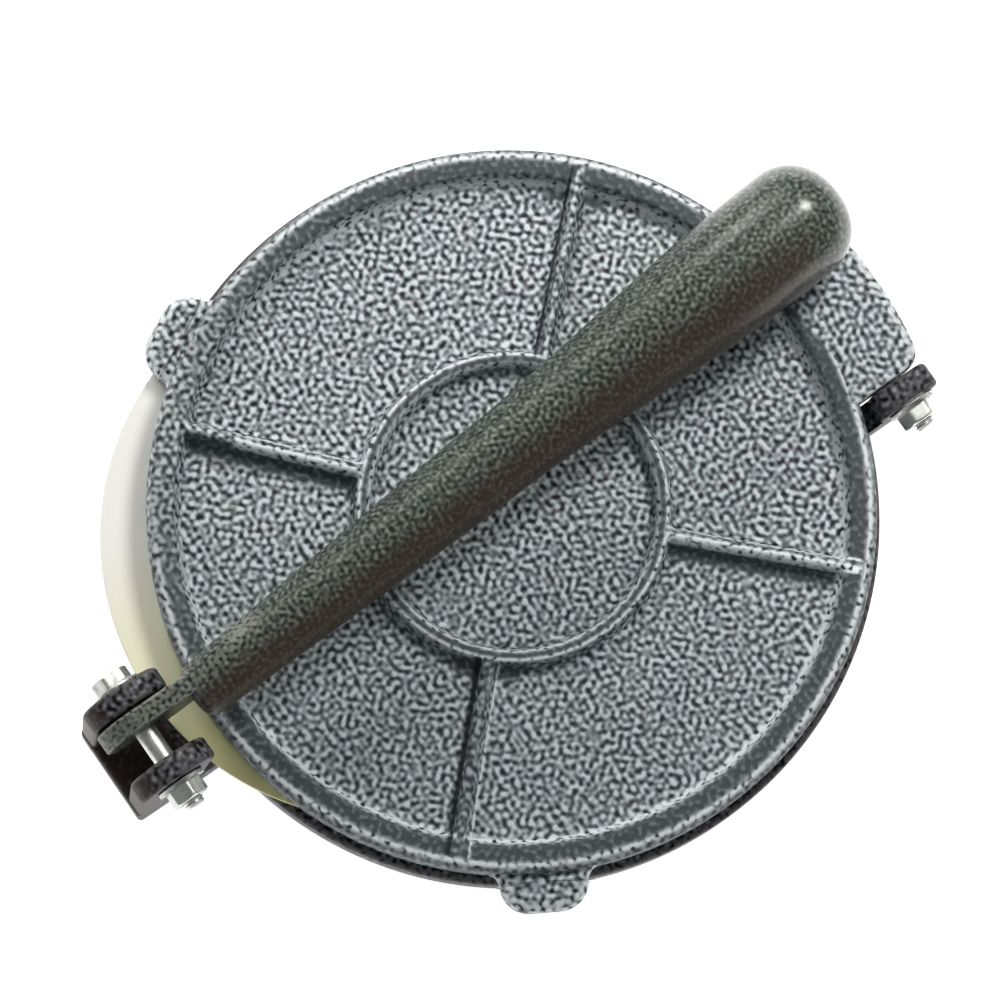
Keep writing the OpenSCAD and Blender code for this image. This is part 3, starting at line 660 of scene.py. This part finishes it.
eye_end = fork_y + 31.0
eye_line = rounded_outline(
    [(fork_y - eye_r, fork_z - eye_r), (fork_y + 9, fork_z - eye_r), (eye_end, fork_z - 1.2),
     (eye_end, fork_z + 11.0), (fork_y + 14, fork_z + eye_r), (fork_y - eye_r, fork_z + eye_r)],
    [11.9, 7.0, 0.8, 0.8, 4.0, 11.9], step=0.9)
lever_eye = plate_across(eye_line, eye_x - eye_t / 2, eye_x + eye_t / 2, edge_r=0.9,
                         centre=(fork_y, fork_z), hole=3.07)


def pressing_foot():
    """The foot under the arm: a block with a half-round nose that bears on the ring."""
    at = round((mid_y - fork_y - ring_r) / math.cos(lean), 1)
    length, half_w, nose = 18.0, 5.0, lid_top + 0.3 - arm_z
    r = length / 2
    line = rounded_outline([(at - r, -1.0), (at - r, nose), (at + r, nose), (at + r, -1.0)],
                           [1.0, r - 0.1, r - 0.1, 1.0], step=0.9)
    grid, marks, tips = plate(line, -half_w, half_w, edge_r=1.4, centre=(at, nose / 2))
    tips = [lean_over(tip[0], tip[2], tip[1]) for tip in tips]
    return shell(lean_over(grid[..., 0], grid[..., 2], grid[..., 1]), tips[0], tips[1], edge=marks * 0.7)


lever_finish = enamel("lever_enamel_dark", pit=(0.013, 0.016, 0.012), vein=(0.21, 0.245, 0.215),
                      band=(0.046, 0.030, 0.021), bare=(0.22, 0.23, 0.20), grain=780.0, low=0.12, high=0.90,
                      rough=0.45, shine=0.25, gloss=0.12, coat=0.1)
palm = lever_finish.node_tree
along = add(palm, "SeparateXYZ", {"Vector": add(palm, "TexCoord", {}, "Object")}, "Y")
held = add(palm, "MapRange", {"Value": along, "From Min": 0.075, "From Max": 0.112,
                              "To Min": 0.1, "To Max": 0.9}, interpolation_type="SMOOTHSTEP")
feed(palm, palm.nodes["Principled BSDF"], {"Coat Weight": held})
piece("lever_casting", [lever_arm(), lever_eye, pressing_foot()], "lever", ["lever"],
      lever_finish)

# ---------------------------------------------------------------------------------------------
# Bolts, nuts and washers. Both pivots are stock M6 hex bolts of bright zinc-plated steel, cold headed
# and with a rolled thread. Each is held by a nut, with a washer under the head and another under the nut.

bolt_r, thread_pitch, thread_deep = 3.0, 1.0, 0.42
hex_flat, head_h, nut_h = 5.0, 4.0, 5.0
tail, thread_spare = 2.0, 6.0    # the thread past the nut, and before it
washer_r, washer_hole, washer_t = 7.0, 3.2, 1.2


def around_x(x, r, turn, y, z):
    """Points at a distance r and the angle turn round an axis along X, which passes through y and z."""
    x, r, turn = np.broadcast_arrays(x, r, turn)
    return np.stack([x, y + r * np.cos(turn), z + r * np.sin(turn)], axis=-1)


def hexagon(x_face, x_top, y, z, lean_angle, hole=0.0):
    """A bolt head, or a nut if it has a hole. Its outline is the half width across flats divided by the
    cosine of the angle from the nearest flat, and a cone takes the points off each end, which leaves the
    arcs on the flats."""
    turn = full_turn(72)
    outline = hex_flat / np.cos((turn + np.pi / 6) % (np.pi / 3) - np.pi / 6)
    outline = outline - 0.12 * np.clip((outline / hex_flat - 1.08) / 0.07, 0, 1) ** 2
    way = np.sign(x_top - x_face)
    start = hole / hex_flat if hole else 0.12
    shares = np.concatenate([[start], np.linspace(start + 0.08, 0.8, 4), [0.86, 0.9, 0.93, 0.96, 0.985, 1.0]])
    rows, depth, mark = [], [], []
    for face, sign, slope in ((x_top, -way, 0.55), (x_face, way, 0.30)):
        order = shares if face == x_top else shares[::-1]
        for s in order:
            r = outline * s
            lost = np.maximum(r - hex_flat * 0.93, 0) * slope
            if hole:
                lost = lost + np.maximum(hole + 0.35 - r, 0) * 0.8
            rows.append(r)
            depth.append(face + sign * lost)
            mark.append(0.9 if s > 0.9 else 0.0)
        if face == x_top:
            for s in (0.12, 0.5, 0.88):
                rows.append(outline)
                lost = np.maximum(outline - hex_flat * 0.93, 0)
                depth.append((x_top - way * lost * 0.55) * (1 - s) + (x_face + way * lost * 0.3) * s)
                mark.append(0.3)
    grid = around_x(np.array(depth)[:, 0, :], np.array(rows)[:, 0, :], turn + lean_angle, y, z)
    tips = (None, None) if hole else ((x_top, y, z), (x_face, y, z))
    return shell(grid, tips[0], tips[1], closed=bool(hole), edge=np.array(mark)[:, None])


def shank(x0, x_thread, x1, y, z):
    """The bolt's shank from the head to the tail. Past x_thread its radius falls and rises once each
    pitch along a helix, by the depth of the thread, and the tail's last edge is turned down by a short
    cone."""
    x = np.concatenate([np.linspace(x0, x_thread, 12)[:-1],
                        np.arange(x_thread, x1, thread_pitch / 8), [x1]])[:, None]
    turn = full_turn(48)
    wave = np.abs(((x - x_thread) / thread_pitch + turn / (2 * np.pi)) % 1.0 - 0.5) * 2
    groove = np.clip(1.25 * wave - 0.1, 0, 1) * thread_deep * smooth_step((x - x_thread) / 0.8)
    r = bolt_r - groove
    r = np.minimum(r, bolt_r - 0.7 + np.maximum(x1 - x, 0))
    r = np.where(x >= x1, bolt_r - 0.75, r)
    return shell(around_x(x, r, turn, y, z), (x0, y, z), (x1, y, z), edge=(r > bolt_r - 0.08) * 0.6)


def washer(x0, x1, y, z):
    """A punched washer: a flat ring with one rounded and one sharp edge, carried round the axis."""
    section = np.array([
        [x0, washer_hole], [x0, washer_hole + 0.8], [x0, 5.0], [x0, washer_r - 0.25],
        [x0 + 0.1, washer_r - 0.05], [x0 + 0.3, washer_r], [x1 - 0.45, washer_r],
        [x1 - 0.15, washer_r - 0.12], [x1, washer_r - 0.5], [x1, 5.0], [x1, washer_hole + 0.5],
        [x1 - 0.3, washer_hole]])
    turn = full_turn(72)
    grid = around_x(section[:, :1], section[:, 1:], turn, y, z)
    return shell(grid, closed=True, edge=(np.array([0, 0, 0, 1, 1, 1, 1, 1, 1, 0, 0, 0]) * 0.7)[:, None])


def zinc(name, colour, dull):
    """Bright zinc plate: metal that a fine cloud tints from dark through its own colour to straw, with
    fine rolling marks along X in its gloss and its bump."""
    material, tree, surface, where = new_surface(name)
    cloud = add(tree, "TexNoise", {"Vector": where, "Scale": 260.0, "Detail": 4.0})
    drawn_out = add(tree, "Mapping", {"Vector": where, "Scale": (0.25, 1.0, 1.0)})
    marks = add(tree, "TexNoise", {"Vector": drawn_out, "Scale": 700.0, "Detail": 3.0})
    dark = tuple(c * 0.62 for c in colour)
    straw = tuple(c * tint for c, tint in zip(colour, (1.02, 0.98, 0.86)))
    feed(tree, surface, {
        "Base Color": ramp(tree, cloud, [(0.34, dark), (0.52, colour), (0.72, straw)]),
        "Metallic": 1.0,
        "Roughness": ramp(tree, marks, [(0.3, (dull * 0.7,) * 3), (0.7, (dull * 1.3,) * 3)]),
        "Normal": add(tree, "Bump", {"Strength": 0.25, "Distance": 0.00005, "Height": marks})})
    return material


zinc_finish = zinc("zinc_plate_bright", (0.68, 0.70, 0.67), 0.42)
for pivot, x_mid, half, y, z, tilt in (("pivot", fork_x, fork_out, fork_y, fork_z, 0.35),
                                       ("hinge", hinge_x, hinge_out, hinge_y, hinge_z, 0.10)):
    head_face, nut_face = x_mid - half - washer_t, x_mid + half + washer_t
    nut_end = nut_face + nut_h
    for part, shells in (
            ("bolt", [hexagon(head_face, head_face - head_h, y, z, tilt),
                      shank(head_face - 1.0, nut_face - thread_spare, nut_end + tail, y, z)]),
            ("nut", [hexagon(nut_face, nut_end, y, z, tilt + 0.5, hole=bolt_r + 0.05)]),
            ("head_washer", [washer(head_face, head_face + washer_t, y, z)]),
            ("nut_washer", [washer(nut_face, nut_face - washer_t, y, z)])):
        piece(pivot + "_" + part + "_zinc", shells, "base", [pivot + "_" + part], zinc_finish)

# ---------------------------------------------------------------------------------------------
# Feet. Four moulded rubber feet, each with a pocket for its screw's head, and four zinc-plated
# cross-recess screws that hold them to the bosses under the base.

foot_h, foot_low_r, foot_top_r = base_low, 8.0, 9.0
pocket_r, pocket_h, stem_r = 4.3, 4.0, 2.2


def rubber_foot(angle):
    """A foot: its section, a cone with a rounded lower edge, a pocket and a hole, carried round the
    foot's own axis. Two shallow ribs run round the side."""
    a = np.linspace(0, np.pi / 2, 6)
    z_side = np.linspace(0.9, foot_h - 0.3, 16)
    side_r = foot_low_r + (foot_top_r - foot_low_r) * z_side / foot_h
    side_r = side_r - 0.22 * smooth_step(np.sin(z_side * 2.4) * 1.5)
    profile = np.concatenate([
        [[stem_r, foot_h], [stem_r, pocket_h + 0.2], [stem_r + 0.3, pocket_h], [pocket_r - 0.2, pocket_h],
         [pocket_r, pocket_h - 0.3], [pocket_r, 0.5], [pocket_r + 0.4, 0.0], [6.0, 0.0]],
        np.stack([foot_low_r - 0.9 + 0.9 * np.sin(a), 0.9 - 0.9 * np.cos(a)], axis=-1),
        np.stack([side_r, z_side], axis=-1), [[foot_top_r - 0.2, foot_h], [5.0, foot_h]]])
    turn = full_turn(64)
    r, z = profile[:, :1], profile[:, 1:]
    grid = np.stack([foot_at * np.cos(angle) + r * np.cos(turn),
                     mid_y + foot_at * np.sin(angle) + r * np.sin(turn),
                     z * np.ones_like(turn)], axis=-1)
    return shell(grid, closed=True)


def dusty_rubber():
    """Matt black rubber: a fine grain in its bump, and grey dust where a broad cloud lies."""
    material, tree, surface, where = new_surface("foot_rubber_black")
    cloud = add(tree, "TexNoise", {"Vector": where, "Scale": 130.0, "Detail": 6.0})
    grain = add(tree, "TexNoise", {"Vector": where, "Scale": 1800.0})
    feed(tree, surface, {
        "Base Color": ramp(tree, cloud, [(0.45, (0.018, 0.018, 0.019)), (0.75, (0.075, 0.072, 0.068))]),
        "Roughness": 0.72,
        "Normal": add(tree, "Bump", {"Strength": 0.3, "Distance": 0.0001, "Height": grain})})
    return material


rubber = dusty_rubber()
for spot, degrees in (("front_left", 225), ("front_right", 315), ("back_left", 135), ("back_right", 45)):
    piece("foot_" + spot + "_rubber", [rubber_foot(math.radians(degrees))], "base", ["foot_" + spot],
          rubber)
    screw = frame["nodes"]["foot_screw_" + spot]
    screw.data.materials.clear()
    screw.data.materials.append(zinc_finish)

# ---------------------------------------------------------------------------------------------
# Liner. A loose round sheet of cream plastic, cut from a food-grade sheet, that lies on the pressing
# floor so that the dough comes off. It has slipped towards the fork and shows beyond the lid.

liner_r = 80.0
liner_x, liner_y = liner_box[1][0] - liner_r, (liner_box[0][1] + liner_box[1][1]) / 2
liner_low, liner_top = liner_box[0][2], liner_box[1][2]


def liner_sheet():
    """A thin disc with a rounded edge. Its upper face dips by up to a fifth of a millimetre in soft waves
    that grow towards the edge, and never rises past its nominal height."""
    a = np.linspace(0, np.pi / 2, 5)
    rows = [(r, liner_top) for r in np.concatenate([np.linspace(4, 73, 24), np.linspace(74, 79.5, 10)])]
    rows += [(liner_r - 0.4 + 0.4 * np.sin(v), liner_top - 0.4 + 0.4 * np.cos(v)) for v in a]
    rows += [(liner_r - 0.2 + 0.2 * np.cos(v), liner_low + 0.2 - 0.2 * np.sin(v)) for v in a]
    rows += [(r, liner_low) for r in (70, 50, 30, 10)]
    r, z = (np.array(v, float)[:, None] for v in zip(*rows))
    turn = full_turn(240)
    dip = 0.10 * (1 + np.sin(3 * turn + 0.8) * np.cos(5 * turn)) * (r / liner_r) ** 3 * (z > liner_low + 0.5)
    grid = np.stack([liner_x + r * np.cos(turn), liner_y + r * np.sin(turn), z - dip], axis=-1)
    return shell(grid, (liner_x, liner_y, liner_top), (liner_x, liner_y, liner_low))


def cream_plastic():
    """Cream plastic sheet: a soft cloud of tone, a yellow tinge that grows towards its right, fine scuffs,
    and a little light let through."""
    material, tree, surface, where = new_surface("liner_plastic_cream")
    cloud = add(tree, "TexNoise", {"Vector": where, "Scale": 38.0, "Detail": 5.0})
    scuff = add(tree, "TexNoise", {"Vector": where, "Scale": 900.0, "Detail": 3.0})
    cream = ramp(tree, cloud, [(0.30, (0.94, 0.955, 0.88)), (0.70, (0.975, 0.985, 0.935))])
    to_right = add(tree, "SeparateXYZ", {"Vector": where}, "X")
    yellow_share = add(tree, "MapRange", {"Value": to_right, "From Min": -0.055, "From Max": 0.010})
    yellow = {"Factor": yellow_share, "A": cream, "B": (0.99, 0.95, 0.48, 1.0)}
    feed(tree, surface, {
        "Base Color": add(tree, "Mix", yellow, "Result", data_type="RGBA"),
        "Roughness": add(tree, "MapRange", {"Value": scuff, "To Min": 0.32, "To Max": 0.55}),
        "Normal": add(tree, "Bump", {"Strength": 0.15, "Distance": 0.00005, "Height": scuff}),
        "Subsurface Weight": 0.15,
        "Subsurface Scale": 0.002})
    return material


piece("press_liner_sheet", [liner_sheet()], "base", ["press_liner"], cream_plastic())

# ---------------------------------------------------------------------------------------------
# Studio. White paper below, a soft lamp high behind the press and a broad one lower on its left, and
# an even white room, with the camera almost straight above.

floor_mesh = bpy.data.meshes.new("paper_floor")
floor_mesh.from_pydata([(-4, -4, 0), (4, -4, 0), (4, 4, 0), (-4, 4, 0)], [], [(0, 1, 2, 3)])
paper, paper_tree, paper_surface, _ = new_surface("white_paper")
paper_cloud = add(paper_tree, "TexNoise", {"Scale": 60.0})
feed(paper_tree, paper_surface, {
    "Base Color": add(paper_tree, "MapRange", {"Value": paper_cloud, "To Min": 0.93, "To Max": 0.96}),
    "Roughness": 0.9,
    "Emission Color": (1.0, 1.0, 1.0, 1.0),
    "Emission Strength": 0.86})
floor_mesh.materials.append(paper)
floor = bpy.data.objects.new("paper_floor", floor_mesh)
bpy.context.scene.collection.objects.link(floor)

for title, shape, size, energy, towards, distance in (
        ("lamp_key", "DISK", (0.25, 0.25), 3.4, (-0.181, 0.511, 0.839), 0.8),
        ("lamp_low", "RECTANGLE", (0.40, 0.40), 4.0, (-0.825, 0.040, 0.564), 1.0)):
    lamp_data = bpy.data.lights.new(title, "AREA")
    lamp_data.shape = shape
    lamp_data.size, lamp_data.size_y = size
    lamp_data.energy = energy
    lamp_data.color = (1.0, 0.985, 0.96)
    lamp = bpy.data.objects.new(title, lamp_data)
    lamp_at = Vector(towards) * distance
    lamp.location = lamp_at
    lamp.rotation_euler = (-lamp_at).to_track_quat("-Z", "Y").to_euler()
    bpy.context.scene.collection.objects.link(lamp)

room = bpy.data.worlds.new("white_room")
room.use_nodes = True
feed(room.node_tree, room.node_tree.nodes["Background"], {"Color": (0.96, 0.98, 1.0, 1.0), "Strength": 0.26})
bpy.context.scene.world = room
bpy.context.scene.view_settings.view_transform = "Standard"

camera_data = bpy.data.cameras.new("camera")
camera_data.sensor_width = 36.0
camera_data.lens = 164.0
camera = bpy.data.objects.new("camera", camera_data)
camera.location = (0.1134, -0.1658, 1.2848)
camera.rotation_euler = [math.radians(degrees) for degrees in (8.7638, -3.3123, 55.1469)]
bpy.context.scene.collection.objects.link(camera)
bpy.context.scene.camera = camera
